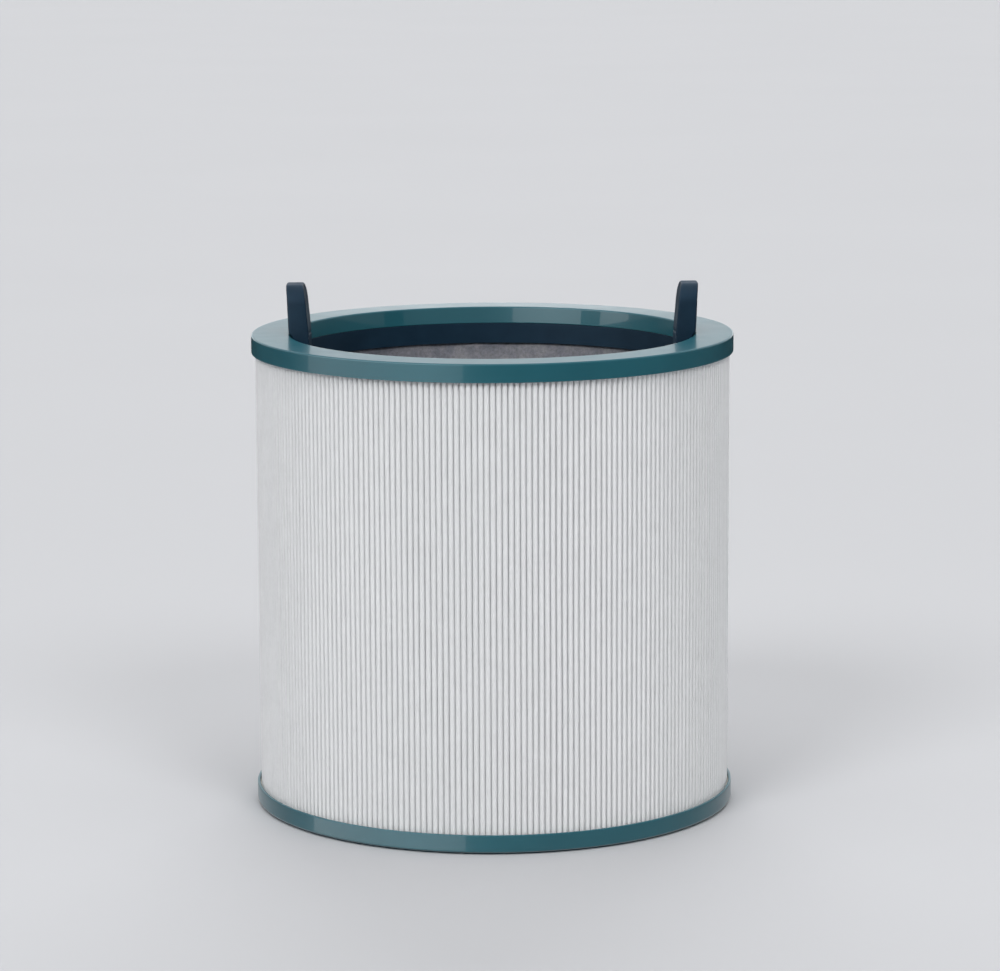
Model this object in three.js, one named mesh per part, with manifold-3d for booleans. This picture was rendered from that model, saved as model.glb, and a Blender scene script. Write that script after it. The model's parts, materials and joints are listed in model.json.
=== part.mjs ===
// A round air purifier filter cartridge: a sleeve of pleated filter paper around a sleeve of
// carbon felt, held between two glossy end rings. A dark collar in the upper mouth carries two
// spring tabs that clip the cartridge to its purifier.
//
// Millimetres. +Z is the cylinder's axis, z = 0 is the surface the cartridge stands on, and the
// tabs stand on the X axis.

import * as THREE from 'three';
import { mergeVertices } from 'three/addons/utils/BufferGeometryUtils.js';
import Module from 'manifold-3d';

const wasm = await Module();
wasm.setup();

// ---------------------------------------------------------------- driving dimensions

const RING_OUTER_R = 95;
const BORE_R = 79.3;
const MOUTH_R = 80; // the top ring's inner wall opens out to this, to lead the spigot in
const BODY_H = 186.5; // underside of the bottom ring to the top of the top ring
const TOP_RING_H = 7.2;
const BOTTOM_RING_H = 6.8;
const RING_WALL = 1.1; // outer wall of an end ring
const RING_INNER_WALL = 1.3;
const RING_PLATE = 1.6; // flat face of the top ring
const RING_BEVEL = 0.8;
const INNER_WALL_SHORT = 0.4; // the top ring's inner wall is this much lower than its outer wall

const GASKET_PROUD = 0.8; // foam standing out of its groove, so the ring is held off the surface
const GASKET_H = 2.2;
const GASKET_INNER_R = 84;
const GASKET_OUTER_R = 90;
const GROOVE_ROOF = 1; // plastic left above the gasket's groove

const COLLAR_DROP = 8; // height of the dark band below the ring's inner wall
const COLLAR_SKIRT = 0.8;
const COLLAR_SHELF = 1; // between the skirt and the leg
const COLLAR_LEG_R = 81.7; // outside of the leg that snaps in behind the ring's inner wall

const PLEATS = 256;
const PLEAT_OUTER_R = 93.4;
const PLEAT_INNER_R = 82.9;
const PLEAT_FOLD = 3.4; // the paper's thickness, measured along the radius at a fold
const PLEAT_TOP_TUCK = 4.7; // how far below the top ring's face the paper ends
const PLEAT_BOTTOM_TUCK = 5.3; // and how far above the bottom ring's face it starts

const FELT_INNER_R = 80.4;
const FELT_OUTER_R = 81.8;
const SEAM_TAPE_W = 14;
const SEAM_STRIP_W = 5;
const SEAM_STRIP_INSET = 1; // short of the paper's ends

const BEADS = 7;
const BEAD_INNER_R = 82.15;
const BEAD_OUTER_R = 82.6;
const BEAD_H = 1.6;
const BEAD_BREAK_W = 8; // each bead stops short of the paper's seam

const TAB_H = 19.3; // above the top ring
const TAB_W = 22;
const TAB_TOP_CORNER_R = 7;
const TAB_FOOT_OUTER_R = 78.9; // beside the lower edge of the ring's inner wall
const TAB_OUTER_R = 79.5; // where the tab passes the ring's mouth
const TAB_INNER_R = 72.5;
const TAB_LEAN_AT_RING = 0.8; // how far the outer face stands over the ring, just above it
const TAB_LEAN_AT_TIP = 1.5;
const TAB_RING_CLEARANCE = 0.9;
const TAB_INNER_LEAN = 1.8; // of the inner face, at the tip
const TAB_CHAMFER_W = 0.9;
const TAB_CHAMFER_H = 1;
const FOOT_INSET = 0.5; // the fixed foot narrows by this at its lower end
const FOOT_SLOPE_DROP = 2.5; // where the foot starts to narrow, below the collar's top
const CATCH_W = 12; // recess that the purifier's catch snaps into
const CATCH_H = 4.5;
const CATCH_DROP = 9; // from the tab's top to the recess's lower edge
const CATCH_FLOOR_INSET = 0.8;
const HINGE_R = 76; // the thin section that each tab bends at
const HINGE_DROP = 1; // below the top ring's face
const HINGE_NOTCH_ANGLE = 11; // degrees, each side of the thin section

const GAP = 0.3; // between pieces that touch on the real cartridge
const SEGMENTS = 64; // around every turned piece
const BEAD_SEGMENTS = 48;
const FULL_TURN = 2 * Math.PI;

// ---------------------------------------------------------------- heights that follow

const RING_FLOOR_Z = GASKET_PROUD;
const RING_TOP_Z = RING_FLOOR_Z + BODY_H;
const INNER_WALL_H = TOP_RING_H - INNER_WALL_SHORT;
const GROOVE_DEPTH = GASKET_H - GASKET_PROUD;
const BOTTOM_PLATE = GROOVE_DEPTH + GROOVE_ROOF;
const PAPER_TOP_Z = RING_TOP_Z - PLEAT_TOP_TUCK;
const PAPER_BOTTOM_Z = RING_FLOOR_Z + PLEAT_BOTTOM_TUCK;
const COLLAR_TOP_Z = RING_TOP_Z - INNER_WALL_H - GAP;
const COLLAR_BOTTOM_Z = COLLAR_TOP_Z - COLLAR_DROP;
const LOWER_COLLAR_BOTTOM_Z = RING_FLOOR_Z + BOTTOM_RING_H + GAP;
const LOWER_COLLAR_TOP_Z = LOWER_COLLAR_BOTTOM_Z + COLLAR_DROP;
const HINGE_Z = RING_TOP_Z - HINGE_DROP;
const TAB_TOP_Z = RING_TOP_Z + TAB_H;

// ---------------------------------------------------------------- materials

const plastic = (colour, roughness) =>
  new THREE.MeshStandardMaterial({ color: colour, roughness, metalness: 0 });

const tealPlastic = plastic(0x2a6570, 0.2);
const navyPlastic = plastic(0x1c2a38, 0.35);
const filterPaper = plastic(0xe6e5e8, 0.9);
const carbonFelt = plastic(0x5f5b61, 0.95);
const resin = plastic(0xd9d6cc, 0.5);
const foam = plastic(0x26282b, 0.95);
const tape = plastic(0xc9c9c6, 0.8);

// ---------------------------------------------------------------- geometry helpers

const radians = (degrees) => (degrees * Math.PI) / 180;

// A ring turned about Z from a closed outline of [radius, height] points, counter-clockwise.
function turned(outline, segments = SEGMENTS) {
  const points = [...outline, outline[0]].map(([r, z]) => new THREE.Vector2(r, z));
  const geometry = new THREE.LatheGeometry(points, segments);
  geometry.rotateX(Math.PI / 2);
  return closed(geometry);
}

function plainRing(innerR, outerR, bottomZ, topZ) {
  return turned([
    [outerR, bottomZ],
    [outerR, topZ],
    [innerR, topZ],
    [innerR, bottomZ],
  ]);
}

// An outline in Y and Z, extruded along X.
function extrudedAlongX(shape, fromX, toX) {
  const geometry = new THREE.ExtrudeGeometry(shape, {
    depth: toX - fromX,
    bevelEnabled: false,
    curveSegments: 5,
  });
  const yToX = new THREE.Matrix4().makeBasis(
    new THREE.Vector3(0, 1, 0),
    new THREE.Vector3(0, 0, 1),
    new THREE.Vector3(1, 0, 0),
  );
  geometry.applyMatrix4(yToX);
  geometry.translate(fromX, 0, 0);
  return closed(geometry);
}

function box(from, to) {
  const size = to.map((high, axis) => high - from[axis]);
  const centre = to.map((high, axis) => (high + from[axis]) / 2);
  const geometry = new THREE.BoxGeometry(...size);
  geometry.translate(...centre);
  return closed(geometry);
}

function closed(geometry) {
  geometry.deleteAttribute('normal');
  geometry.deleteAttribute('uv');
  return mergeVertices(geometry, 1e-4);
}

function toSolid(geometry) {
  return new wasm.Manifold(new wasm.Mesh({
    numProp: 3,
    vertProperties: new Float32Array(geometry.attributes.position.array),
    triVerts: new Uint32Array(geometry.index.array),
  }));
}

function fromSolid(solid) {
  const mesh = solid.getMesh();
  const geometry = new THREE.BufferGeometry();
  geometry.setAttribute('position', new THREE.BufferAttribute(mesh.vertProperties, 3));
  geometry.setIndex(new THREE.BufferAttribute(mesh.triVerts, 1));
  return geometry;
}

function piece(name, geometry, material) {
  const mesh = new THREE.Mesh(geometry, material);
  mesh.name = name;
  return mesh;
}

// ---------------------------------------------------------------- end rings

// A channel that opens downwards onto the paper, with bevelled edges on its flat face. Its inner
// wall tapers from the mouth down to the bore.
function topEndRing() {
  const innerWallR = BORE_R + RING_INNER_WALL;
  const outerWallR = RING_OUTER_R - RING_WALL;
  const skirtZ = RING_TOP_Z - TOP_RING_H;
  const innerWallZ = RING_TOP_Z - INNER_WALL_H;
  const plateZ = RING_TOP_Z - RING_PLATE;
  return turned([
    [RING_OUTER_R, skirtZ],
    [RING_OUTER_R, RING_TOP_Z - RING_BEVEL],
    [RING_OUTER_R - RING_BEVEL, RING_TOP_Z],
    [MOUTH_R + RING_BEVEL, RING_TOP_Z],
    [MOUTH_R, RING_TOP_Z - RING_BEVEL],
    [BORE_R, innerWallZ],
    [innerWallR, innerWallZ],
    [innerWallR, plateZ],
    [outerWallR, plateZ],
    [outerWallR, skirtZ],
  ]);
}

// The same channel the other way up, with a groove in its underside for the gasket.
function bottomEndRing() {
  const innerWallR = BORE_R + RING_INNER_WALL;
  const outerWallR = RING_OUTER_R - RING_WALL;
  const rimZ = RING_FLOOR_Z + BOTTOM_RING_H;
  const plateZ = RING_FLOOR_Z + BOTTOM_PLATE;
  const grooveZ = RING_FLOOR_Z + GROOVE_DEPTH;
  return turned([
    [BORE_R, rimZ],
    [BORE_R, RING_FLOOR_Z + RING_BEVEL],
    [BORE_R + RING_BEVEL, RING_FLOOR_Z],
    [GASKET_INNER_R - GAP, RING_FLOOR_Z],
    [GASKET_INNER_R - GAP, grooveZ],
    [GASKET_OUTER_R + GAP, grooveZ],
    [GASKET_OUTER_R + GAP, RING_FLOOR_Z],
    [RING_OUTER_R - RING_BEVEL, RING_FLOOR_Z],
    [RING_OUTER_R, RING_FLOOR_Z + RING_BEVEL],
    [RING_OUTER_R, rimZ],
    [outerWallR, rimZ],
    [outerWallR, plateZ],
    [innerWallR, plateZ],
    [innerWallR, rimZ],
  ]);
}

function bottomGasket() {
  return plainRing(GASKET_INNER_R, GASKET_OUTER_R, 0, GASKET_H - GAP);
}

// ---------------------------------------------------------------- resin that holds the paper

function potting(bottomZ, topZ) {
  const outerR = RING_OUTER_R - RING_WALL - GAP;
  return plainRing(COLLAR_LEG_R + GAP, outerR, bottomZ, topZ);
}

const topPotting = () => potting(PAPER_TOP_Z + GAP, RING_TOP_Z - RING_PLATE - GAP);

const bottomPotting = () =>
  potting(RING_FLOOR_Z + BOTTOM_PLATE + GAP, PAPER_BOTTOM_Z - GAP);

// ---------------------------------------------------------------- collars

// Skirt inside the bore, joined to a leg that snaps in behind the ring's inner wall.
// "away" is +1 where the leg stands above the skirt and -1 where it hangs below it.
function collarOutline(legSideZ, skirtEndZ, legEndZ, away) {
  const skirtOuterR = BORE_R + COLLAR_SKIRT;
  const legInnerR = BORE_R + RING_INNER_WALL + GAP;
  const shelfZ = legSideZ - away * COLLAR_SHELF;
  const outline = [
    [BORE_R, skirtEndZ],
    [skirtOuterR, skirtEndZ],
    [skirtOuterR, shelfZ],
    [COLLAR_LEG_R, shelfZ],
    [COLLAR_LEG_R, legEndZ],
    [legInnerR, legEndZ],
    [legInnerR, legSideZ],
    [BORE_R, legSideZ],
  ];
  return away > 0 ? outline : outline.reverse();
}

// The fixed foot of both tabs, as a ring that is then cut down to the tabs' width.
function tabFootRing() {
  const insideSkirtR = BORE_R + COLLAR_SKIRT / 2;
  const stepZ = COLLAR_TOP_Z - GAP;
  const topZ = HINGE_Z - GAP / 2;
  return turned([
    [TAB_FOOT_OUTER_R - FOOT_INSET, COLLAR_BOTTOM_Z],
    [insideSkirtR, COLLAR_BOTTOM_Z],
    [insideSkirtR, stepZ],
    [TAB_FOOT_OUTER_R, stepZ],
    [TAB_OUTER_R, topZ],
    [TAB_INNER_R, topZ],
    [TAB_INNER_R, COLLAR_TOP_Z - FOOT_SLOPE_DROP],
  ]);
}

function clipCollar() {
  const legEndZ = RING_TOP_Z - RING_PLATE - GAP;
  const ring = toSolid(turned(collarOutline(COLLAR_TOP_Z, COLLAR_BOTTOM_Z, legEndZ, 1)));
  const footBand = toSolid(box(
    [-RING_OUTER_R, -TAB_W / 2, 0],
    [RING_OUTER_R, TAB_W / 2, RING_TOP_Z],
  ));
  return fromSolid(ring.add(toSolid(tabFootRing()).intersect(footBand)));
}

function bottomCollar() {
  const legEndZ = RING_FLOOR_Z + BOTTOM_PLATE + GAP;
  return turned(collarOutline(LOWER_COLLAR_BOTTOM_Z, LOWER_COLLAR_TOP_Z, legEndZ, -1));
}

// ---------------------------------------------------------------- spring tabs

// The tab seen from the side: it leans out over the ring's edge and thins towards its top, and
// its foot narrows to a point at the hinge line, so it can bend either way.
function tabSection() {
  const outerRun = TAB_OUTER_R - HINGE_R;
  const innerRun = HINGE_R - TAB_INNER_R;
  const pointZ = HINGE_Z + GAP / 2;
  const rise = Math.tan(radians(HINGE_NOTCH_ANGLE));
  const outerTipR = TAB_OUTER_R + TAB_LEAN_AT_TIP;
  const innerTipR = TAB_INNER_R + TAB_INNER_LEAN;
  return [
    [HINGE_R, pointZ],
    [TAB_OUTER_R, pointZ + outerRun * rise],
    [TAB_OUTER_R + TAB_LEAN_AT_RING, RING_TOP_Z + TAB_RING_CLEARANCE],
    [outerTipR, TAB_TOP_Z - TAB_CHAMFER_H],
    [outerTipR - TAB_CHAMFER_W, TAB_TOP_Z],
    [innerTipR + TAB_CHAMFER_W, TAB_TOP_Z],
    [innerTipR, TAB_TOP_Z - TAB_CHAMFER_H],
    [TAB_INNER_R, pointZ + innerRun * rise],
  ];
}

// The tab seen along its radius: straight sides and round top corners.
function tabFace() {
  const half = TAB_W / 2;
  const shoulderZ = TAB_TOP_Z - TAB_TOP_CORNER_R;
  const shoulderY = half - TAB_TOP_CORNER_R;
  const shape = new THREE.Shape();
  shape.moveTo(-half, COLLAR_BOTTOM_Z);
  shape.lineTo(half, COLLAR_BOTTOM_Z);
  shape.absarc(shoulderY, shoulderZ, TAB_TOP_CORNER_R, 0, Math.PI / 2);
  shape.absarc(-shoulderY, shoulderZ, TAB_TOP_CORNER_R, Math.PI / 2, Math.PI);
  return shape;
}

function catchRecess() {
  const fromZ = TAB_TOP_Z - CATCH_DROP;
  return box(
    [TAB_OUTER_R - CATCH_FLOOR_INSET, -CATCH_W / 2, fromZ],
    [RING_OUTER_R, CATCH_W / 2, fromZ + CATCH_H],
  );
}

function releaseTab(side) {
  const face = toSolid(extrudedAlongX(tabFace(), 0, RING_OUTER_R));
  const tab = toSolid(turned(tabSection())).intersect(face).subtract(toSolid(catchRecess()));
  const geometry = fromSolid(tab);
  if (side < 0) geometry.rotateZ(Math.PI);
  return geometry;
}

// ---------------------------------------------------------------- filter media

// One strip of paper folded to and fro and closed into a sleeve.
function pleatPack() {
  const zigzag = (tipR, valleyR) => Array.from({ length: 2 * PLEATS }, (_, fold) => {
    const angle = (fold * FULL_TURN) / (2 * PLEATS);
    const r = fold % 2 ? valleyR : tipR;
    return new THREE.Vector2(r * Math.cos(angle), r * Math.sin(angle));
  });
  const shape = new THREE.Shape(zigzag(PLEAT_OUTER_R, PLEAT_INNER_R + PLEAT_FOLD));
  shape.holes.push(new THREE.Path(zigzag(PLEAT_OUTER_R - PLEAT_FOLD, PLEAT_INNER_R)));
  const geometry = new THREE.ExtrudeGeometry(shape, {
    depth: PAPER_TOP_Z - PAPER_BOTTOM_Z,
    bevelEnabled: false,
  });
  geometry.translate(0, 0, PAPER_BOTTOM_Z);
  return closed(geometry);
}

// The strip that joins the paper's two ends, at the back of the cartridge.
function pleatSeamStrip() {
  return box(
    [-SEAM_STRIP_W / 2, BEAD_INNER_R, PAPER_BOTTOM_Z + SEAM_STRIP_INSET],
    [SEAM_STRIP_W / 2, BEAD_OUTER_R, PAPER_TOP_Z - SEAM_STRIP_INSET],
  );
}

// A line of resin across the folds that keeps them apart. It was laid on the flat paper, so it
// stops at either side of the seam.
function spacerBead(index) {
  const spacing = (PAPER_TOP_Z - PAPER_BOTTOM_Z) / (BEADS + 1);
  const z = PAPER_BOTTOM_Z + spacing * index;
  const ring = toSolid(turned([
    [BEAD_INNER_R, z - BEAD_H / 2],
    [BEAD_OUTER_R, z],
    [BEAD_INNER_R, z + BEAD_H / 2],
  ], BEAD_SEGMENTS));
  const seam = toSolid(box(
    [-BEAD_BREAK_W / 2, 0, z - BEAD_H],
    [BEAD_BREAK_W / 2, RING_OUTER_R, z + BEAD_H],
  ));
  return fromSolid(ring.subtract(seam));
}

// The felt reaches up and down behind both collars' skirts.
function carbonFeltSleeve() {
  return plainRing(
    FELT_INNER_R,
    FELT_OUTER_R,
    LOWER_COLLAR_BOTTOM_Z + COLLAR_SHELF + GAP,
    COLLAR_TOP_Z - COLLAR_SHELF - GAP,
  );
}

// The tape over the felt's butt joint, on its inner face at the front.
function carbonSeamTape() {
  const outerR = FELT_INNER_R - GAP;
  const sleeve = toSolid(plainRing(
    outerR - GAP,
    outerR,
    LOWER_COLLAR_TOP_Z + GAP,
    COLLAR_BOTTOM_Z - GAP,
  ));
  const width = toSolid(box(
    [-SEAM_TAPE_W / 2, -RING_OUTER_R, 0],
    [SEAM_TAPE_W / 2, 0, RING_TOP_Z],
  ));
  return fromSolid(sleeve.intersect(width));
}

// ---------------------------------------------------------------- assembly

const cartridge = new THREE.Group();
cartridge.add(
  piece('top_end_ring', topEndRing(), tealPlastic),
  piece('top_potting', topPotting(), resin),
  piece('clip_collar', clipCollar(), navyPlastic),
  piece('release_tab_right', releaseTab(1), navyPlastic),
  piece('release_tab_left', releaseTab(-1), navyPlastic),
  piece('pleat_pack', pleatPack(), filterPaper),
  piece('pleat_seam_strip', pleatSeamStrip(), resin),
  piece('carbon_felt_sleeve', carbonFeltSleeve(), carbonFelt),
  piece('carbon_seam_tape', carbonSeamTape(), tape),
  piece('bottom_collar', bottomCollar(), navyPlastic),
  piece('bottom_potting', bottomPotting(), resin),
  piece('bottom_end_ring', bottomEndRing(), tealPlastic),
  piece('bottom_gasket', bottomGasket(), foam),
);
for (let index = 1; index <= BEADS; index += 1) {
  cartridge.add(piece(`spacer_bead_${index}`, spacerBead(index), resin));
}

export default cartridge;
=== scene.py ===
"""Looks for a round air purifier filter cartridge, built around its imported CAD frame.

Every length is in metres, in the frame's own axes: +Z is the cartridge's axis, the tabs stand on
the X axis and -Y is the front. Radii and heights are read from the frame's nodes.
"""

import json
import math

import bmesh
import bpy
import numpy as np
from mathutils import Matrix, Vector


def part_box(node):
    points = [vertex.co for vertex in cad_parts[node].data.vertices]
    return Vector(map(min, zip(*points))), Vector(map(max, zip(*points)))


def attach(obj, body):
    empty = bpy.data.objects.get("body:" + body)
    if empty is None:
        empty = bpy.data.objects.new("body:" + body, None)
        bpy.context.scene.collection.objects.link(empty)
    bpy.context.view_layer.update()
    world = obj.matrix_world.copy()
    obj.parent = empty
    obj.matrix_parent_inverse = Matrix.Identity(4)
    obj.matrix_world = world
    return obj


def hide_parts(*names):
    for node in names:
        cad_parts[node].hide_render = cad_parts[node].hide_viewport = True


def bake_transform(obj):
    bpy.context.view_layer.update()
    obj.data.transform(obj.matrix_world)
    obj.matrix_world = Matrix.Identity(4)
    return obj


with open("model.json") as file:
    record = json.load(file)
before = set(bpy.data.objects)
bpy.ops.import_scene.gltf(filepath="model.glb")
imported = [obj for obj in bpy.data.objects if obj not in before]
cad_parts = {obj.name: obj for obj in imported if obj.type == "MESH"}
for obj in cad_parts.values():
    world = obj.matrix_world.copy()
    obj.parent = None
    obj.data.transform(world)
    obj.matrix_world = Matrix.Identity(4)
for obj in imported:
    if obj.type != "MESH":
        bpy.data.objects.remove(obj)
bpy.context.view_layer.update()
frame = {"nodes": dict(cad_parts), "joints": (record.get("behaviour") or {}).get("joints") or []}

MM = 0.001
FULL_TURN = 2 * math.pi

# ------------------------------------------------------------------ sizes read from the frame


def radii(node):
    """Smallest and largest distance of a CAD node's vertices from the Z axis."""
    reach = [math.hypot(v.co.x, v.co.y) for v in frame["nodes"][node].data.vertices]
    return min(reach), max(reach)


def heights(node):
    """Lowest and highest point of a CAD node."""
    low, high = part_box(node)
    return low.z, high.z


BORE_R, RING_R = radii("top_end_ring")
SKIRT_Z, RING_TOP_Z = heights("top_end_ring")
RING_FLOOR_Z, RIM_Z = heights("bottom_end_ring")
GASKET_INNER_R, GASKET_OUTER_R = radii("bottom_gasket")
_, GASKET_TOP_Z = heights("bottom_gasket")
PAPER_INNER_R, PAPER_OUTER_R = radii("pleat_pack")
PAPER_LOW_Z, PAPER_HIGH_Z = heights("pleat_pack")
FELT_INNER_R, FELT_OUTER_R = radii("carbon_felt_sleeve")
FELT_LOW_Z, FELT_HIGH_Z = heights("carbon_felt_sleeve")
COLLAR_LOW_Z, _ = heights("clip_collar")
_, LOWER_COLLAR_HIGH_Z = heights("bottom_collar")
_, COLLAR_LEG_R = radii("bottom_collar")
TAB_LOW, TAB_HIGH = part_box("release_tab_right")
TAPE_LOW, TAPE_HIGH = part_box("carbon_seam_tape")

hinges = {joint["child"]: joint for joint in frame["joints"]}
HINGE_Z = hinges["right_tab"]["pos_m"][2]

# ------------------------------------------------------------------ sizes the frame doesn't hold

GAP = 0.3 * MM  # between two pieces that touch
ROUND_SEGMENTS = 256

RING_WALL = 1.1 * MM
RING_INNER_WALL = 1.3 * MM
RING_INNER_WALL_R = BORE_R + RING_INNER_WALL  # the inner wall's face towards the paper
RING_SKIRT_R = RING_R - RING_WALL  # the skirt's face towards the paper
TOP_PLATE = 1.6 * MM
BOTTOM_PLATE = 2.4 * MM
TOP_PLATE_Z = RING_TOP_Z - TOP_PLATE
BOTTOM_PLATE_Z = RING_FLOOR_Z + BOTTOM_PLATE
GROOVE_Z = RING_FLOOR_Z + 1.4 * MM
MOUTH_R = BORE_R + 0.7 * MM
INNER_WALL_LOW_Z = RING_TOP_Z - 6.8 * MM

# ------------------------------------------------------------------ mesh helpers


def mesh_object(name, points, faces, material, smooth=True):
    """An object made from points and faces, smooth shaded where faces meet gently."""
    mesh = bpy.data.meshes.new(name)
    mesh.from_pydata([tuple(p) for p in points], [], [tuple(f) for f in faces])
    mesh.update()
    if smooth:
        mesh.shade_smooth()
        mesh.set_sharp_from_angle(angle=math.radians(40))
    mesh.materials.append(material)
    piece = bpy.data.objects.new(name, mesh)
    bpy.context.scene.collection.objects.link(piece)
    return piece


def rounded(corners, steps=5, support=0.15 * MM):
    """A closed outline with each corner (r, z, radius) turned into an arc.

    A support point just beyond each arc keeps the flat stretches flat when they are shaded.
    """
    outline = []
    count = len(corners)
    for index, (r, z, radius) in enumerate(corners):
        here = np.array([r, z])
        before = np.array(corners[index - 1][:2])
        after = np.array(corners[(index + 1) % count][:2])
        if radius <= 0:
            outline.append(here)
            continue
        into = (here - before) / np.linalg.norm(here - before)
        out = (after - here) / np.linalg.norm(after - here)
        turn = math.acos(float(np.clip(into @ out, -1, 1)))
        reach = radius * math.tan(turn / 2)
        start, end = here - into * reach, here + out * reach
        side = 1 if into[0] * out[1] - into[1] * out[0] > 0 else -1
        centre = start + side * radius * np.array([-into[1], into[0]])
        outline.append(start - into * support)
        for step in range(steps + 1):
            angle = side * turn * step / steps
            spoke = start - centre
            outline.append(centre + np.array([
                spoke[0] * math.cos(angle) - spoke[1] * math.sin(angle),
                spoke[0] * math.sin(angle) + spoke[1] * math.cos(angle),
            ]))
        outline.append(end + out * support)
    return np.array(outline)


def grid_faces(numbers, flip=False):
    """Quads over a grid of point numbers, turned over when flip is true."""
    corners = [numbers[:-1, :-1], numbers[:-1, 1:], numbers[1:, 1:], numbers[1:, :-1]]
    if flip:
        corners = [corners[0], *corners[:0:-1]]
    return np.stack(corners, axis=-1).reshape(-1, 4).tolist()


def band_faces(low, high):
    """Quads between two closed loops of point numbers."""
    return np.stack([np.roll(low, -1), low, high, np.roll(high, -1)], axis=1).tolist()


def closed_tube(loops):
    """Quads from each loop of point numbers to the next, and from the last to the first."""
    faces = []
    for here, there in zip(loops, loops[1:] + loops[:1]):
        faces += band_faces(here, there)
    return faces


def border(grid):
    """The numbers round the edge of a grid of rows, counter-clockwise from the lower left."""
    return np.concatenate([grid[0, :-1], grid[:-1, -1], grid[-1, :0:-1], grid[:0:-1, 0]])


def turned(name, outline, material, segments=ROUND_SEGMENTS, wobble=None):
    """A ring turned about Z. A wobble(angle, r, z) returns a change of radius and of height."""
    points = []
    for segment in range(segments):
        angle = FULL_TURN * segment / segments
        for r, z in outline:
            dr, dz = wobble(angle, r, z) if wobble else (0, 0)
            points.append(((r + dr) * math.cos(angle), (r + dr) * math.sin(angle), z + dz))
    numbers = np.arange(len(points)).reshape(segments, len(outline))
    return mesh_object(name, points, closed_tube(list(numbers)), material)


def finish_piece(piece, node):
    """Rides a piece on the cartridge and lets it stand for its CAD node."""
    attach(piece, "cartridge")
    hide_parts(node)


# ------------------------------------------------------------------ materials


def set_stops(ramp, stops):
    """Gives a colour ramp its stops, each (place, colour or grey), from low to high."""
    elements = ramp.color_ramp.elements
    while len(elements) < len(stops):
        elements.new(0.5)
    for element, (place, colour) in zip(elements, stops):
        element.position = place
        element.color = (*colour, 1) if hasattr(colour, "__len__") else (colour,) * 3 + (1,)


class Finish:
    """A procedural material: a Principled shader, and short calls that add nodes to it.

    The keywords it is made with are the shader's own inputs, with _ for a space.
    """

    def __init__(self, name, roughness, **sockets):
        self.material = bpy.data.materials.new(name)
        self.material.use_nodes = True
        self.tree = self.material.node_tree
        self.shader = self.tree.nodes["Principled BSDF"]
        self.shader.inputs["Roughness"].default_value = roughness
        for socket, value in sockets.items():
            self.shader.inputs[socket.replace("_", " ")].default_value = value
        self.place = self.tree.nodes.new("ShaderNodeTexCoord").outputs["Object"]

    def node(self, kind, **settings):
        node = self.tree.nodes.new(kind)
        for key, value in settings.items():
            setattr(node, key, value)
        return node

    def join(self, output, target):
        self.tree.links.new(output, target)

    def stretched(self, x, y, z):
        """The object's own coordinates, multiplied along each axis."""
        mapping = self.node("ShaderNodeMapping")
        mapping.inputs["Scale"].default_value = (x, y, z)
        self.join(self.place, mapping.inputs["Vector"])
        return mapping.outputs["Vector"]

    def noise(self, size, detail=3, where=None, roughness=0.5):
        """Noise whose blobs are about size across."""
        noise = self.node("ShaderNodeTexNoise")
        noise.inputs["Scale"].default_value = 1 / size
        noise.inputs["Detail"].default_value = detail
        noise.inputs["Roughness"].default_value = roughness
        self.join(where or self.place, noise.inputs["Vector"])
        return noise.outputs["Fac"]

    def ramp(self, factor, *stops):
        """Colours or greys along a factor. Each stop is (place, colour)."""
        ramp = self.node("ShaderNodeValToRGB")
        set_stops(ramp, stops)
        self.join(factor, ramp.inputs["Fac"])
        return ramp.outputs["Color"]

    def scaled(self, factor, low, high):
        """A factor from 0 to 1, turned into low to high."""
        node = self.node("ShaderNodeMapRange")
        node.inputs["To Min"].default_value = low
        node.inputs["To Max"].default_value = high
        self.join(factor, node.inputs["Value"])
        return node.outputs["Result"]

    def mixed(self, factor, first, second, blend="MIX"):
        node = self.node("ShaderNodeMix", data_type="RGBA", blend_type=blend)
        for socket, value in (("Factor", factor), ("A", first), ("B", second)):
            slot = [s for s in node.inputs if s.name == socket and s.enabled][0]
            if isinstance(value, bpy.types.NodeSocket):
                self.join(value, slot)
            else:
                slot.default_value = value if socket == "Factor" else (*value, 1)
        return [s for s in node.outputs if s.enabled][0]

    def bump(self, height, distance, strength=1.0, under=None):
        bump = self.node("ShaderNodeBump")
        bump.inputs["Distance"].default_value = distance
        bump.inputs["Strength"].default_value = strength
        self.join(height, bump.inputs["Height"])
        if under:
            self.join(under, bump.inputs["Normal"])
        return bump.outputs["Normal"]

    def feed(self, socket, output):
        """Joins an output to one of the shader's own inputs."""
        self.join(output, self.shader.inputs[socket])


def linear(red, green, blue):
    """A screen colour, 0 to 255, as linear light."""
    def channel(value):
        value /= 255
        return value / 12.92 if value <= 0.04045 else ((value + 0.055) / 1.055) ** 2.4
    return tuple(channel(v) for v in (red, green, blue))


def teal_plastic():
    """Moulded plastic: a satin body under a clear gloss skin, with a faint ripple."""
    finish = Finish(
        "teal_gloss_plastic", 0.33, Specular_IOR_Level=0.35, Coat_Weight=0.4, Coat_Roughness=0.04)
    dye = finish.ramp(
        finish.noise(28 * MM, detail=2),
        (0.3, linear(23, 84, 96)),
        (0.7, linear(27, 90, 102)),
    )
    finish.feed("Base Color", dye)
    finish.feed("Roughness", finish.scaled(finish.noise(9 * MM, detail=4), 0.29, 0.37))
    ripple = finish.bump(finish.noise(0.5 * MM, detail=2), distance=0.004 * MM, strength=0.5)
    finish.feed("Normal", ripple)
    swell = finish.bump(finish.noise(14 * MM, detail=1), distance=0.01 * MM)
    finish.feed("Coat Normal", swell)
    return finish.material


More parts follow.
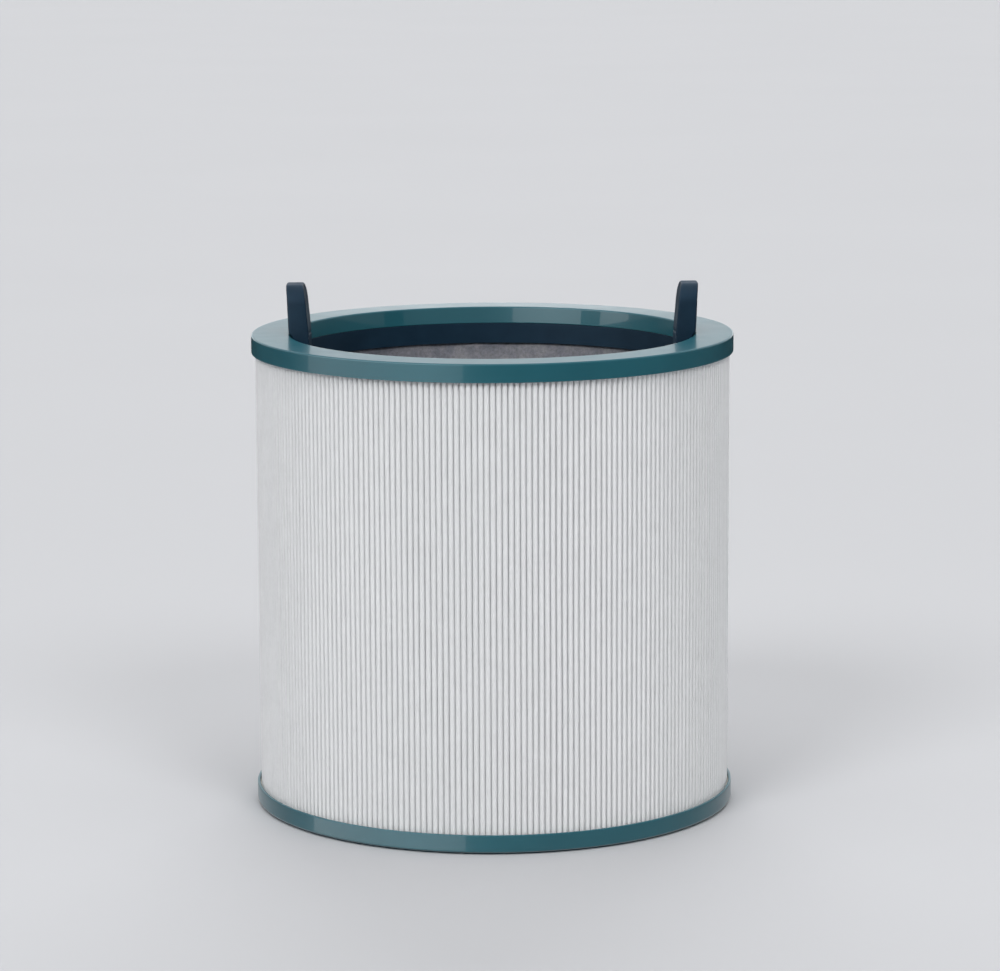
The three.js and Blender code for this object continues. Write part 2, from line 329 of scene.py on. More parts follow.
def navy_plastic():
    """Satin moulded plastic with a fine spark-eroded grain."""
    finish = Finish("navy_satin_plastic", 0.5, Specular_IOR_Level=0.15)
    dye = finish.ramp(
        finish.noise(12 * MM, detail=3),
        (0.3, linear(19, 40, 56)),
        (0.7, linear(25, 48, 65)),
    )
    finish.feed("Base Color", dye)
    finish.feed("Roughness", finish.scaled(finish.noise(3 * MM, detail=4), 0.42, 0.55))
    grain = finish.bump(finish.noise(0.35 * MM, detail=3), distance=0.012 * MM, strength=0.6)
    finish.feed("Normal", grain)
    return finish.material


def filter_paper():
    """White fibre paper: long pale fibres, a soft mottle and a fine tooth."""
    finish = Finish("filter_paper", 0.9, Specular_IOR_Level=0.05)
    mottle = finish.ramp(
        finish.noise(7 * MM, detail=5, roughness=0.65),
        (0.3, linear(234, 235, 236)),
        (0.7, linear(238, 239, 240)),
    )
    fibres = finish.ramp(
        finish.noise(0.6 * MM, detail=4, where=finish.stretched(1, 1, 0.25), roughness=0.7),
        (0.35, 0.95),
        (0.65, 1.0),
    )
    finish.feed("Base Color", finish.mixed(1.0, mottle, fibres, "MULTIPLY"))
    tooth = finish.bump(finish.noise(0.25 * MM, detail=3), distance=0.03 * MM, strength=0.6)
    finish.feed("Normal", tooth)
    return finish.material


def carbon_felt():
    """Needled felt loaded with carbon: bluish grey patches and dark grains."""
    finish = Finish("carbon_felt", 0.95, Specular_IOR_Level=0.15, Sheen_Weight=0.25)
    patches = finish.ramp(
        finish.noise(11 * MM, detail=5, roughness=0.65),
        (0.3, linear(115, 119, 129)),
        (0.5, linear(137, 138, 146)),
        (0.7, linear(161, 161, 165)),
    )
    grains = finish.ramp(
        finish.noise(1.3 * MM, detail=4, roughness=0.7),
        (0.32, 0.6),
        (0.6, 1.0),
    )
    finish.feed("Base Color", finish.mixed(0.8, patches, grains, "MULTIPLY"))
    fibres = finish.noise(0.9 * MM, detail=5, roughness=0.7)
    hollows = finish.noise(6 * MM, detail=3)
    fluff = finish.bump(fibres, distance=0.25 * MM, strength=0.8)
    finish.feed("Normal", finish.bump(hollows, distance=0.4 * MM, strength=0.5, under=fluff))
    return finish.material


def resin():
    """Cured pale adhesive, a little glossy where it set against the air."""
    finish = Finish("cured_resin", 0.4)
    tint = finish.ramp(
        finish.noise(5 * MM, detail=3),
        (0.3, linear(206, 202, 190)),
        (0.7, linear(222, 219, 210)),
    )
    finish.feed("Base Color", tint)
    finish.feed("Roughness", finish.scaled(finish.noise(2 * MM, detail=2), 0.3, 0.5))
    drips = finish.bump(finish.noise(1.5 * MM, detail=2), distance=0.1 * MM, strength=0.6)
    finish.feed("Normal", drips)
    return finish.material


def foam():
    """Dark closed-cell foam with its skin cut away, so the cells show; each cell's hollow is
    painted darker, as painted shade.
    """
    finish = Finish("closed_cell_foam", 0.9, Specular_IOR_Level=0.2)
    cells = finish.node("ShaderNodeTexVoronoi", feature="F1")
    cells.inputs["Scale"].default_value = 1 / (0.7 * MM)
    finish.join(finish.place, cells.inputs["Vector"])
    # painted shade: the colour darkens towards each cell's middle, where the bump below sinks
    # deepest
    cells_and_painted_hollow_shade = finish.ramp(
        cells.outputs["Distance"],
        (0.1, linear(26, 27, 29)),
        (0.6, linear(46, 47, 50)),
    )
    finish.feed("Base Color", cells_and_painted_hollow_shade)
    pits = finish.bump(cells.outputs["Distance"], distance=0.15 * MM, strength=0.7)
    finish.feed("Normal", pits)
    return finish.material


def seam_tape():
    """Thin non-woven tape with crossed fibres."""
    finish = Finish("non_woven_tape", 0.8, Specular_IOR_Level=0.25)
    upright, level = finish.stretched(1, 1, 0.15), finish.stretched(0.15, 1, 1)
    along = finish.noise(0.8 * MM, detail=4, where=upright, roughness=0.7)
    across = finish.noise(0.8 * MM, detail=4, where=level, roughness=0.7)
    weave = finish.mixed(0.5, along, across)
    tint = finish.ramp(
        weave,
        (0.35, linear(172, 171, 170)),
        (0.65, linear(204, 203, 201)),
    )
    finish.feed("Base Color", tint)
    finish.feed("Normal", finish.bump(weave, distance=0.06 * MM, strength=0.7))
    return finish.material


TEAL = teal_plastic()
NAVY = navy_plastic()
PAPER = filter_paper()
FELT = carbon_felt()
RESIN = resin()
FOAM = foam()
TAPE = seam_tape()

# ------------------------------------------------------------------ end rings and gasket


def top_ring():
    """A channel open downwards, with a tall outer skirt and a wall that tapers into the bore."""
    shoulder_r = 0.6 * MM
    skirt_edge_r = 0.3 * MM
    wall_edge_r = 0.25 * MM
    outline = rounded([
        (RING_R, SKIRT_Z, skirt_edge_r),
        (RING_R, RING_TOP_Z, shoulder_r),
        (MOUTH_R, RING_TOP_Z, shoulder_r),
        (BORE_R, INNER_WALL_LOW_Z, wall_edge_r),
        (RING_INNER_WALL_R, INNER_WALL_LOW_Z, wall_edge_r),
        (RING_INNER_WALL_R, TOP_PLATE_Z, 0),
        (RING_SKIRT_R, TOP_PLATE_Z, 0),
        (RING_SKIRT_R, SKIRT_Z, skirt_edge_r),
    ])
    finish_piece(turned("top_ring", outline, TEAL), "top_end_ring")


def bottom_ring():
    """The same channel open upwards, with a groove in its underside for the gasket."""
    bore_edge_r = 0.8 * MM
    foot_edge_r = 0.7 * MM
    skirt_edge_r = 0.35 * MM
    wall_edge_r = 0.25 * MM
    groove_edge_r = 0.2 * MM
    outline = rounded([
        (BORE_R, RIM_Z, wall_edge_r),
        (BORE_R, RING_FLOOR_Z, bore_edge_r),
        (GASKET_INNER_R - GAP, RING_FLOOR_Z, groove_edge_r),
        (GASKET_INNER_R - GAP, GROOVE_Z, 0),
        (GASKET_OUTER_R + GAP, GROOVE_Z, 0),
        (GASKET_OUTER_R + GAP, RING_FLOOR_Z, groove_edge_r),
        (RING_R, RING_FLOOR_Z, foot_edge_r),
        (RING_R, RIM_Z, skirt_edge_r),
        (RING_SKIRT_R, RIM_Z, skirt_edge_r),
        (RING_SKIRT_R, BOTTOM_PLATE_Z, 0),
        (RING_INNER_WALL_R, BOTTOM_PLATE_Z, 0),
        (RING_INNER_WALL_R, RIM_Z, wall_edge_r),
    ])
    finish_piece(turned("bottom_ring", outline, TEAL), "bottom_end_ring")


def gasket():
    """A foam ring whose sides are a little uneven, as cut foam is."""
    edge_r = 0.35 * MM
    unevenness = 0.04 * MM

    def wobble(angle, r, z):
        waves = math.sin(7 * angle) + 0.6 * math.sin(17 * angle + 1) + 0.4 * math.sin(41 * angle)
        return unevenness * waves, 0

    outline = rounded([
        (GASKET_OUTER_R, 0, edge_r),
        (GASKET_OUTER_R, GASKET_TOP_Z, 0),
        (GASKET_INNER_R, GASKET_TOP_Z, 0),
        (GASKET_INNER_R, 0, edge_r),
    ])
    ring = turned("foam_gasket", outline, FOAM, wobble=wobble)
    finish_piece(ring, "bottom_gasket")


# ------------------------------------------------------------------ collars

COLLAR_SKIRT_R = BORE_R + 0.8 * MM
COLLAR_LEG_INNER_R = RING_INNER_WALL_R + GAP
COLLAR_SHELF = 1 * MM
COLLAR_CLEARANCE = 0.05 * MM  # between the collar and the end of the ring's inner wall
COLLAR_MITRE_R = 0.15 * MM
COLLAR_LEG_EDGE_R = 0.2 * MM
COLLAR_SKIRT_EDGE_R = 0.25 * MM


def upper_collar():
    """The dark band in the bore, with its leg behind the ring's inner wall."""
    top_z = INNER_WALL_LOW_Z - COLLAR_CLEARANCE
    leg_top_z = TOP_PLATE_Z - GAP
    outline = rounded([
        (BORE_R, COLLAR_LOW_Z, COLLAR_SKIRT_EDGE_R),
        (COLLAR_SKIRT_R, COLLAR_LOW_Z, COLLAR_SKIRT_EDGE_R),
        (COLLAR_SKIRT_R, top_z - COLLAR_SHELF, 0),
        (COLLAR_LEG_R, top_z - COLLAR_SHELF, COLLAR_LEG_EDGE_R),
        (COLLAR_LEG_R, leg_top_z, COLLAR_LEG_EDGE_R),
        (COLLAR_LEG_INNER_R, leg_top_z, COLLAR_LEG_EDGE_R),
        (COLLAR_LEG_INNER_R, top_z, 0),
        (BORE_R, top_z, COLLAR_MITRE_R),
    ], steps=3, support=0.05 * MM)
    finish_piece(turned("collar_band", outline, NAVY), "clip_collar")


def lower_collar():
    """The matching band at the bottom, the other way up."""
    low_z = RIM_Z + COLLAR_CLEARANCE
    leg_low_z = BOTTOM_PLATE_Z + GAP
    outline = rounded([
        (BORE_R, low_z, COLLAR_MITRE_R),
        (COLLAR_LEG_INNER_R, low_z, 0),
        (COLLAR_LEG_INNER_R, leg_low_z, COLLAR_LEG_EDGE_R),
        (COLLAR_LEG_R, leg_low_z, COLLAR_LEG_EDGE_R),
        (COLLAR_LEG_R, low_z + COLLAR_SHELF, COLLAR_LEG_EDGE_R),
        (COLLAR_SKIRT_R, low_z + COLLAR_SHELF, 0),
        (COLLAR_SKIRT_R, LOWER_COLLAR_HIGH_Z, COLLAR_SKIRT_EDGE_R),
        (BORE_R, LOWER_COLLAR_HIGH_Z, COLLAR_SKIRT_EDGE_R),
    ], steps=3, support=0.05 * MM)
    finish_piece(turned("lower_collar_band", outline, NAVY), "bottom_collar")


# ------------------------------------------------------------------ tabs

TAB_HALF_W = TAB_HIGH.y
TAB_TOP_Z = TAB_HIGH.z
TAB_PASS_R = 79.5 * MM  # the outer face's radius where it passes the ring's mouth
TAB_THICKNESS = 7 * MM
TAB_CORNER_R = 7 * MM
TAB_EDGE_R = 0.7 * MM
TAB_EDGE_STEPS = 5
TAB_COLUMNS = 48
TAB_STRAIGHT_ROWS = 72
TAB_CORNER_ROWS = 16
TAB_FOOT_H = 5.5 * MM
TAB_FOOT_THICKNESS = 1.1 * MM
TAB_BORE_CLEARANCE = 0.4 * MM
TAB_LEAN_LOW_Z = RING_TOP_Z - 0.3 * MM
TAB_LEAN_HIGH_Z = RING_TOP_Z + 0.9 * MM
TAB_LEAN_AT_RING = 0.8 * MM
TAB_LEAN_AT_TIP = 1.5 * MM
TAB_INNER_LEAN = 1.8 * MM
GROOVE_DEPTH = 0.35 * MM
GROOVE_HALF_H = 0.5 * MM
RECESS_HALF_W = 6 * MM
RECESS_DEPTH = 1.9 * MM
RECESS_TOP_Z = TAB_TOP_Z - 4.5 * MM
RECESS_LOW_Z = TAB_TOP_Z - 9 * MM
RECESS_SOFTNESS = 0.7 * MM


def step_up(value, edge, width):
    """0 below the edge and 1 above it, with a smooth ramp of that width."""
    t = np.clip((value - edge) / width + 0.5, 0, 1)
    return t * t * (3 - 2 * t)


def tab_outer_radius(z):
    """Radius of the tab's outer face: inside the bore, then leaning out over the ring."""
    profile = [
        (INNER_WALL_LOW_Z, BORE_R - TAB_BORE_CLEARANCE),
        (TAB_LEAN_LOW_Z, TAB_PASS_R),
        (TAB_LEAN_HIGH_Z, TAB_PASS_R + TAB_LEAN_AT_RING),
        (TAB_TOP_Z, TAB_PASS_R + TAB_LEAN_AT_TIP),
    ]
    return np.interp(z, *zip(*profile))


def tab_inner_radius(z):
    """Radius of the tab's inner face: a sloped foot, then a slight taper to the top."""
    stem_r = TAB_PASS_R - TAB_THICKNESS
    profile = [
        (COLLAR_LOW_Z, TAB_PASS_R - TAB_FOOT_THICKNESS),
        (COLLAR_LOW_Z + TAB_FOOT_H, stem_r),
        (HINGE_Z, stem_r),
        (TAB_TOP_Z, stem_r + TAB_INNER_LEAN),
    ]
    return np.interp(z, *zip(*profile))


def tab_outline_grid(inset):
    """Rows of (y, z) over the tab's face, kept inset from its edge on every side."""
    corner = TAB_CORNER_R - inset
    half = TAB_HALF_W - inset
    shoulder_z = TAB_TOP_Z - TAB_CORNER_R
    across = np.linspace(-1, 1, TAB_COLUMNS + 1)
    straight = np.linspace(COLLAR_LOW_Z + inset, shoulder_z, TAB_STRAIGHT_ROWS, endpoint=False)
    sweep = np.linspace(0, math.pi / 2, TAB_CORNER_ROWS)
    row_z = np.concatenate([straight, shoulder_z + corner * np.sin(sweep)])
    row_half = np.concatenate([
        np.full(len(straight), half),
        half - corner + corner * np.cos(sweep),
    ])
    return np.outer(row_half, across), np.repeat(row_z[:, None], len(across), axis=1)


def tab_recess(y, z):
    """Depth of the catch recess in the tab's outer face."""
    across = step_up(RECESS_HALF_W - np.abs(y), 0, RECESS_SOFTNESS)
    above = step_up(z, RECESS_LOW_Z, RECESS_SOFTNESS)
    below = step_up(-z, -RECESS_TOP_Z, RECESS_SOFTNESS)
    return RECESS_DEPTH * across * above * below


def hinge_groove(z):
    """Depth of the shallow groove where the tab bends."""
    return GROOVE_DEPTH * np.exp(-(((z - HINGE_Z) / GROOVE_HALF_H) ** 2))


def tab_point(y, z, radius, side):
    """A point of the tab at that radius from the axis, on the right (1) or left (-1)."""
    x = np.sqrt(np.maximum(radius ** 2 - y ** 2, 0))
    return np.stack([side * x, side * y, z], axis=-1)


def tab_edge(rim, side):
    """The loops of points round a tab's rounded edge, from the outer face to the inner one."""
    outer_loops = []
    inner_loops = []
    for angle in np.linspace(0, math.pi / 2, TAB_EDGE_STEPS + 1)[1:]:
        grid_y, grid_z = tab_outline_grid(TAB_EDGE_R * (1 - math.sin(angle)))
        y, z = grid_y.ravel()[rim], grid_z.ravel()[rim]
        sunk = TAB_EDGE_R * (1 - math.cos(angle)) + hinge_groove(z) * math.cos(angle)
        outer_loops.append(tab_point(y, z, tab_outer_radius(z) - sunk, side))
        inner_loops.append(tab_point(y, z, tab_inner_radius(z) + sunk, side))
    return outer_loops + inner_loops[::-1]


def tab(name, side, node):
    """One tab with its foot: two gridded faces joined by a rounded edge all the way round."""
    y, z = tab_outline_grid(TAB_EDGE_R)
    outer = tab_point(y, z, tab_outer_radius(z) - tab_recess(y, z) - hinge_groove(z), side)
    inner = tab_point(y, z, tab_inner_radius(z) + hinge_groove(z), side)
    numbers = np.arange(2 * y.size).reshape(2, *y.shape)
    rim = border(numbers[0])
    edge = tab_edge(rim, side)
    edge_numbers = 2 * y.size + np.arange(len(edge) * len(rim)).reshape(len(edge), len(rim))
    loops = [rim, *edge_numbers, border(numbers[1])]
    faces = grid_faces(numbers[0]) + grid_faces(numbers[1], flip=True)
    for low, high in zip(loops, loops[1:]):
        faces += band_faces(low, high)
    points = np.concatenate([outer.reshape(-1, 3), inner.reshape(-1, 3), *edge])
    piece = mesh_object(name, points, faces, NAVY)
    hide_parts(node)
    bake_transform(piece)


# ------------------------------------------------------------------ pleated paper

PLEATS = 256
PAPER_THICKNESS = 0.3 * MM
PAPER_ROWS = 20
FOLD_HALF_W = 0.74 * MM
FOLD_CROWN = 0.8 * MM
BULGE_HALF_W = 0.94 * MM
BULGE_DEPTH = 0.45 * MM
VALLEY_R = 0.25 * MM
TIP_POINTS = 9
VALLEY_POINTS = 5
TURN_SIDEWAYS = 0.015 * MM  # how far a tip or a valley lies from its true place
TURN_OUT = 0.05 * MM
WANDER = 0.05 * MM  # how far a fold strays from straight on its way up
SWELL = 0.05 * MM
SWELL_LIMIT = 0.03 * MM
WAVE_COUNT = 14


def pleat_line():
    """One pleat's middle line: (0 on the tip or 1 in the valley, sideways, radius) per point.

    The tip is half an ellipse, the folds bulge till they nearly meet just below their tips,
    and the valley is round.
    """
    tip_base = PAPER_OUTER_R - PAPER_THICKNESS / 2 - FOLD_CROWN
    valley_base = PAPER_INNER_R + PAPER_THICKNESS / 2 + VALLEY_R
    half_turn = math.pi / 2
    line = [(0, -BULGE_HALF_W, tip_base - BULGE_DEPTH)]
    for angle in np.linspace(-half_turn, half_turn, TIP_POINTS):
        line.append((0, FOLD_HALF_W * math.sin(angle), tip_base + FOLD_CROWN * math.cos(angle)))
    line.append((0, BULGE_HALF_W, tip_base - BULGE_DEPTH))
    for angle in np.linspace(half_turn, -half_turn, VALLEY_POINTS):
        line.append((1, -VALLEY_R * math.sin(angle), valley_base - VALLEY_R * math.cos(angle)))
    return np.array(line)


def slow_waves(rng, angle, height, size):
    """A smooth random field over the sleeve, of about that size."""
    total = np.zeros(np.broadcast(angle, height).shape)
    for _ in range(WAVE_COUNT):
        around = rng.integers(3, 40)
        up = rng.uniform(2, 7)
        phase = rng.uniform(0, FULL_TURN)
        total += np.sin(around * angle + up * height + phase)
    return size * total / math.sqrt(WAVE_COUNT)


def folded_line(rng):
    """The middle line of the whole strip: (x, y) along it, for each row from low to high."""
    line = pleat_line()
    pleat = np.repeat(np.arange(PLEATS), len(line))
    valley, sideways, radius = (np.tile(line[:, k], PLEATS) for k in range(3))
    turn_sideways = rng.normal(0, TURN_SIDEWAYS, 2 * PLEATS)
    turn_out = rng.normal(0, TURN_OUT, 2 * PLEATS)
    turn = (2 * pleat + valley).astype(int)
    sideways = sideways + turn_sideways[turn]
    radius = radius + np.minimum(turn_out[turn], TURN_OUT)
    base = FULL_TURN * (pleat + valley / 2) / PLEATS
    share = np.linspace(0, 1, PAPER_ROWS)[:, None]
    loose = np.sin(math.pi * share) ** 0.5  # the ends are held in resin
    climb = 1.5 * share
    wander = slow_waves(rng, base[None, :], climb, WANDER)
    swell = slow_waves(rng, base[None, :], climb, SWELL)
    r = radius[None, :] + loose * np.minimum(swell, SWELL_LIMIT)
    angle = base[None, :] + (sideways[None, :] + loose * wander) / r
    return np.stack([r * np.cos(angle), r * np.sin(angle)], axis=-1)


def pleated_sleeve():
    """A strip of paper folded 256 times, with the small irregularities of a real fold."""
    middle = folded_line(np.random.default_rng(11))
    along = np.roll(middle, -1, axis=1) - np.roll(middle, 1, axis=1)
    along /= np.linalg.norm(along, axis=-1, keepdims=True)
    outward = np.stack([along[..., 1], -along[..., 0]], axis=-1)
    count = middle.shape[1]
    z = np.repeat(np.linspace(PAPER_LOW_Z, PAPER_HIGH_Z, PAPER_ROWS)[:, None, None], count, 1)
    points = []
    for offset in (PAPER_THICKNESS / 2, -PAPER_THICKNESS / 2):
        points.append(np.concatenate([middle + outward * offset, z], axis=-1).reshape(-1, 3))
    outer, inner = np.arange(2 * PAPER_ROWS * count).reshape(2, PAPER_ROWS, count)
    faces = closed_tube([*inner, *outer[::-1]])
    piece = mesh_object("pleated_paper", np.concatenate(points), faces, PAPER)
    finish_piece(piece, "pleat_pack")


# ------------------------------------------------------------------ felt, tape and resin

FELT_ROWS = 40
FELT_WAVES = 16
FELT_SWAY = 0.035 * MM
TAPE_THICKNESS = 0.18 * MM
TAPE_CLEARANCE = 0.15 * MM
TAPE_PUCKER = 0.05 * MM
TAPE_PUCKERS = 9
TAPE_LIFT = 0.08 * MM
TAPE_COLUMNS = 13
TAPE_ROWS = 60
RESIN_RECESS = 1.6 * MM  # from the ring's rim to the resin's face
RESIN_CLEARANCE = 0.02 * MM
RESIN_UNEVENNESS = 0.08 * MM
RESIN_COLUMNS = 8


def felt_sleeve():
    """The lining, with the shallow hollows of felt that was rolled up and pushed in."""
    rng = np.random.default_rng(5)
    waves = [(rng.integers(2, 23), rng.uniform(20, 90), rng.uniform(0, FULL_TURN))
             for _ in range(FELT_WAVES)]

    def wobble(angle, r, z):
        sway = sum(math.sin(n * angle + k * z + phase) for n, k, phase in waves)
        return FELT_SWAY * sway, 0

    rows = np.linspace(FELT_LOW_Z, FELT_HIGH_Z, FELT_ROWS)
    outline = [(FELT_OUTER_R, z) for z in rows] + [(FELT_INNER_R, z) for z in rows[::-1]]
    piece = turned("felt_lining", outline, FELT, wobble=wobble)
    finish_piece(piece, "carbon_felt_sleeve")


def tape_strip():
    """The tape over the felt's seam, lifting a little along its edges."""
    half_angle = math.asin(TAPE_HIGH.x / abs(TAPE_LOW.y))
    inner_r = -TAPE_HIGH.y + TAPE_CLEARANCE
    points = []
    for offset in (0, TAPE_THICKNESS):
        for row in range(TAPE_ROWS):
            z = TAPE_LOW.z + (TAPE_HIGH.z - TAPE_LOW.z) * row / (TAPE_ROWS - 1)
            for column in range(TAPE_COLUMNS):
                across = 2 * column / (TAPE_COLUMNS - 1) - 1
                wave = math.sin(TAPE_PUCKERS * row / TAPE_ROWS * FULL_TURN + 2 * across)
                lift = TAPE_LIFT * across ** 4 * (1 + math.sin(0.7 * row))
                r = inner_r - lift - TAPE_PUCKER * wave * abs(across) + offset
                angle = -math.pi / 2 + half_angle * across
                points.append((r * math.cos(angle), r * math.sin(angle), z))
    inner, outer = np.arange(len(points)).reshape(2, TAPE_ROWS, TAPE_COLUMNS)
    faces = grid_faces(inner, flip=True) + grid_faces(outer)
    faces += band_faces(border(outer), border(inner))
    piece = mesh_object("felt_seam_tape", points, faces, TAPE)
    finish_piece(piece, "carbon_seam_tape")


def resin_ring(name, node, base_z, face_z):
    """Resin in a ring's channel, from the plate to an uneven face that the paper stands in."""
    up = 1 if face_z > base_z else -1

    def wobble(angle, r, z):
        if z != face_z:
            return 0, 0
        waves = math.sin(PLEATS * angle) + 0.7 * math.sin(23 * angle) + 0.5 * math.sin(57 * angle)
        return 0, up * RESIN_UNEVENNESS * waves

    outer_r = RING_SKIRT_R - RESIN_CLEARANCE
    inner_r = COLLAR_LEG_R + GAP / 2
    across = np.linspace(inner_r, outer_r, RESIN_COLUMNS)
    outline = [(r, face_z) for r in across] + [(outer_r, base_z), (inner_r, base_z)]
    if up > 0:
        outline.reverse()
    piece = turned(name, outline, RESIN, segments=4 * PLEATS, wobble=wobble)
    finish_piece(piece, node)


def hidden_pieces():
    """The resin beads and the seam strip keep their CAD shapes, inside the paper's folds."""
    for name, node in frame["nodes"].items():
        if name.startswith("spacer_bead") or name == "pleat_seam_strip":
            node.data.materials.clear()
            node.data.materials.append(RESIN)


# ------------------------------------------------------------------ studio

# fitted to the photograph
CAMERA_PLACE = Vector((0, -1.48281, 0.37783 + RING_FLOOR_Z))
CAMERA_PITCH = 0.16903  # radians, downwards
CAMERA_YAW = 0.00187
CAMERA_ROLL = -0.00443
LENS_MM = 136.34
SENSOR_MM = 36

FLOOR_COLOUR = (182, 183, 186)
BACKDROP_COLOUR = (214, 215, 218)
BAND_COLOUR = (30, 34, 38)
FLOOR_REACH = 12
DOME_R = 9
BAND_LOW_Z = -0.26 * DOME_R  # the backdrop is pale up to here
BAND_DARK_Z = -0.18 * DOME_R  # and dark from here to the horizon
HORIZON_BLUR = 0.001 * DOME_R
OVERHEAD_STRENGTH = 2.7
OVERHEAD_EDGE = 0.7  # the sine of the elevation where the overhead light begins

LEFT_PANEL_PLACE = (-0.40, -0.285)
LEFT_PANEL_AIM = (0, 0.08)
LEFT_PANEL_W = 0.8
REAR_PANEL_DISTANCE = 8
REAR_PANEL_W = 8
REAR_PANEL_HIGH_Z = 1.16  # just high enough for the far side of the top face to reflect it
REAR_PANEL_RADIANCE = 1.1


def camera():
    """The view of the photograph, with its small yaw and roll."""
    data = bpy.data.cameras.new("camera")
    data.lens = LENS_MM
    data.sensor_width = SENSOR_MM
    data.clip_start = 0.05
    data.clip_end = 60
    eye = bpy.data.objects.new("camera", data)
    forward = Vector((
        math.sin(CAMERA_YAW) * math.cos(CAMERA_PITCH),
        math.cos(CAMERA_YAW) * math.cos(CAMERA_PITCH),
        -math.sin(CAMERA_PITCH),
    ))
    level = Vector((math.cos(CAMERA_YAW), -math.sin(CAMERA_YAW), 0))
    upright = level.cross(forward)
    right = math.cos(CAMERA_ROLL) * level + math.sin(CAMERA_ROLL) * upright
    up = math.cos(CAMERA_ROLL) * upright - math.sin(CAMERA_ROLL) * level
    turn = Matrix((right, up, -forward)).transposed()
    eye.matrix_world = Matrix.Translation(CAMERA_PLACE) @ turn.to_4x4()
    bpy.context.scene.collection.objects.link(eye)
    bpy.context.scene.camera = eye


def gloss_panel(name, place, aim, low_z, high_z, width, radiance):
    """An upright panel from low_z to high_z that only gloss shows, shining with that radiance.

    Its place and what it faces are (x, y).
    """
    data = bpy.data.lights.new(name, "AREA")
    data.shape = "RECTANGLE"
    data.size = width
    data.size_y = high_z - low_z
    data.energy = radiance * math.pi * data.size * data.size_y
    light = bpy.data.objects.new(name, data)
    light.location = (*place, (low_z + high_z) / 2)
    facing = Vector((aim[0] - place[0], aim[1] - place[1], 0))
    light.rotation_euler = facing.to_track_quat("-Z", "Y").to_euler()
    light.visible_camera = False
    light.visible_diffuse = False
    bpy.context.scene.collection.objects.link(light)


def sun(name, azimuth, elevation, strength, spread):
    """Even light from far away, in degrees. Azimuth 0 is the front, and positive to the right."""
    data = bpy.data.lights.new(name, "SUN")
    data.energy = strength
    data.angle = math.radians(spread)
    light = bpy.data.objects.new(name, data)
    turn, rise = math.radians(azimuth), math.radians(elevation)
    toward = Vector((
        math.sin(turn) * math.cos(rise),
        -math.cos(turn) * math.cos(rise),
        math.sin(rise),
    ))
    light.rotation_euler = toward.to_track_quat("Z", "Y").to_euler()
    light.visible_glossy = False
    bpy.context.scene.collection.objects.link(light)


def pale_floor():
    """A pale matt floor. Reflections look past it, as if it ended at the object."""
    paint = Finish("studio_floor", 0.7, Specular_IOR_Level=0)
    tint = paint.ramp(
        paint.noise(0.4, detail=3),
        (0.3, linear(*FLOOR_COLOUR)),
        (0.7, linear(*(value + 1 for value in FLOOR_COLOUR))),
    )
    paint.feed("Base Color", tint)
    signs = ((-1, -1), (1, -1), (1, 1), (-1, 1))
    corners = [(x * FLOOR_REACH, y * FLOOR_REACH, 0) for x, y in signs]
    floor = mesh_object("floor", corners, [(0, 1, 2, 3)], paint.material, smooth=False)
    floor.visible_glossy = False


def backdrop_glow():
    """Light given off by the backdrop: pale, with a dark band just below the horizon."""
    material = bpy.data.materials.new("studio_backdrop")
    material.use_nodes = True
    tree = material.node_tree
    tree.nodes.remove(tree.nodes["Principled BSDF"])
    place = tree.nodes.new("ShaderNodeTexCoord").outputs["Object"]
    split = tree.nodes.new("ShaderNodeSeparateXYZ")
    ramp = tree.nodes.new("ShaderNodeValToRGB")
    glow = tree.nodes.new("ShaderNodeEmission")
    height = tree.nodes.new("ShaderNodeMapRange")
    height.inputs["From Min"].default_value = -DOME_R
    height.inputs["From Max"].default_value = DOME_R
    stops = (
        (BAND_LOW_Z, BACKDROP_COLOUR),
        (BAND_DARK_Z, BAND_COLOUR),
        (-HORIZON_BLUR, BAND_COLOUR),
        (0, BACKDROP_COLOUR),
    )
    set_stops(ramp, [((z / DOME_R + 1) / 2, linear(*colour)) for z, colour in stops])
    tree.links.new(place, split.inputs["Vector"])
    tree.links.new(split.outputs["Z"], height.inputs["Value"])
    tree.links.new(height.outputs["Result"], ramp.inputs["Fac"])
    tree.links.new(ramp.outputs["Color"], glow.inputs["Color"])
    tree.links.new(glow.outputs["Emission"], tree.nodes["Material Output"].inputs["Surface"])
    return material


def backdrop():
    """A dome all round, which the camera and gloss see and which lights nothing else."""
    mesh = bpy.data.meshes.new("backdrop")
    form = bmesh.new()
    bmesh.ops.create_uvsphere(form, u_segments=64, v_segments=32, radius=DOME_R)
    form.to_mesh(mesh)
    form.free()
    mesh.materials.append(backdrop_glow())
    dome = bpy.data.objects.new("backdrop", mesh)
    bpy.context.scene.collection.objects.link(dome)
    dome.visible_diffuse = False
    dome.visible_shadow = False


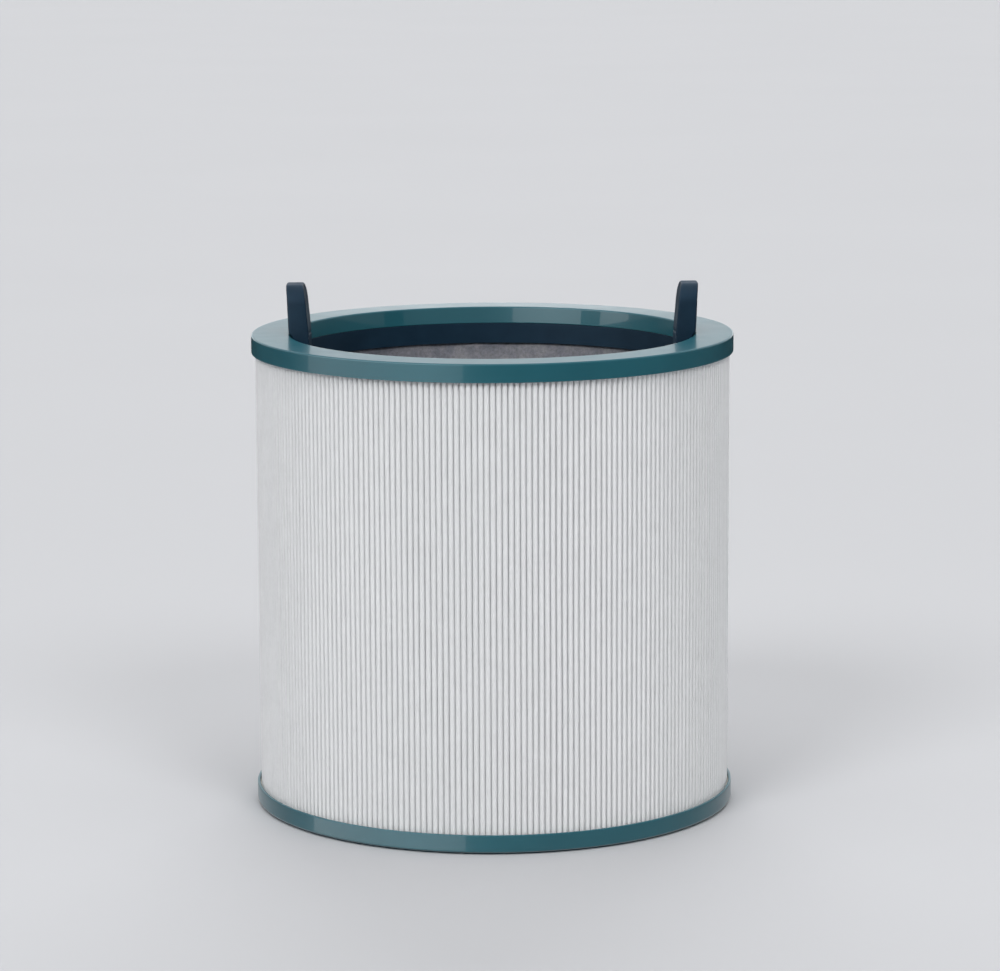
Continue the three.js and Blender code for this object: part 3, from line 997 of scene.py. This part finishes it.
def overhead_light():
    """Diffuse light from the upper sky, strongest overhead."""
    world = bpy.data.worlds.new("overhead")
    world.use_nodes = True
    nodes, links = world.node_tree.nodes, world.node_tree.links
    direction = nodes.new("ShaderNodeTexCoord").outputs["Generated"]
    split = nodes.new("ShaderNodeSeparateXYZ")
    ramp = nodes.new("ShaderNodeValToRGB")
    ramp.color_ramp.interpolation = "EASE"
    set_stops(ramp, ((OVERHEAD_EDGE, 0.0), (1, 1.0)))
    links.new(direction, split.inputs["Vector"])
    links.new(split.outputs["Z"], ramp.inputs["Fac"])
    links.new(ramp.outputs["Color"], nodes["Background"].inputs["Color"])
    nodes["Background"].inputs["Strength"].default_value = OVERHEAD_STRENGTH
    world.cycles_visibility.camera = False
    world.cycles_visibility.glossy = False
    bpy.context.scene.world = world


def studio():
    """Overhead light, two keys at the front, a fill behind, and panels that only gloss shows."""
    pale_floor()
    backdrop()
    overhead_light()
    sun("key", azimuth=-32, elevation=38, strength=1.25, spread=22)
    sun("second", azimuth=28, elevation=38, strength=0.98, spread=22)
    sun("back_fill", azimuth=178, elevation=35, strength=1.4, spread=40)
    for name, low_z, high_z, radiance in (
        ("low_panel", -0.25, 0.04, 2.0),
        ("middle_panel", 0.04, 0.19, 1.3),
        ("high_panel", 0.19, 0.78, 2.6),
    ):
        gloss_panel(name, LEFT_PANEL_PLACE, LEFT_PANEL_AIM, low_z, high_z, LEFT_PANEL_W, radiance)
    gloss_panel(
        "rear_panel", (0, REAR_PANEL_DISTANCE), (0, 0), 0, REAR_PANEL_HIGH_Z, REAR_PANEL_W,
        REAR_PANEL_RADIANCE)
    bpy.context.scene.view_settings.view_transform = "Standard"


# ------------------------------------------------------------------ build

camera()
studio()
top_ring()
bottom_ring()
gasket()
upper_collar()
lower_collar()
tab("right_tab_moulding", 1, "release_tab_right")
tab("left_tab_moulding", -1, "release_tab_left")
pleated_sleeve()
felt_sleeve()
tape_strip()
resin_ring("upper_resin", "top_potting", TOP_PLATE_Z, SKIRT_Z + RESIN_RECESS)
resin_ring("lower_resin", "bottom_potting", BOTTOM_PLATE_Z, RIM_Z - RESIN_RECESS)
hidden_pieces()
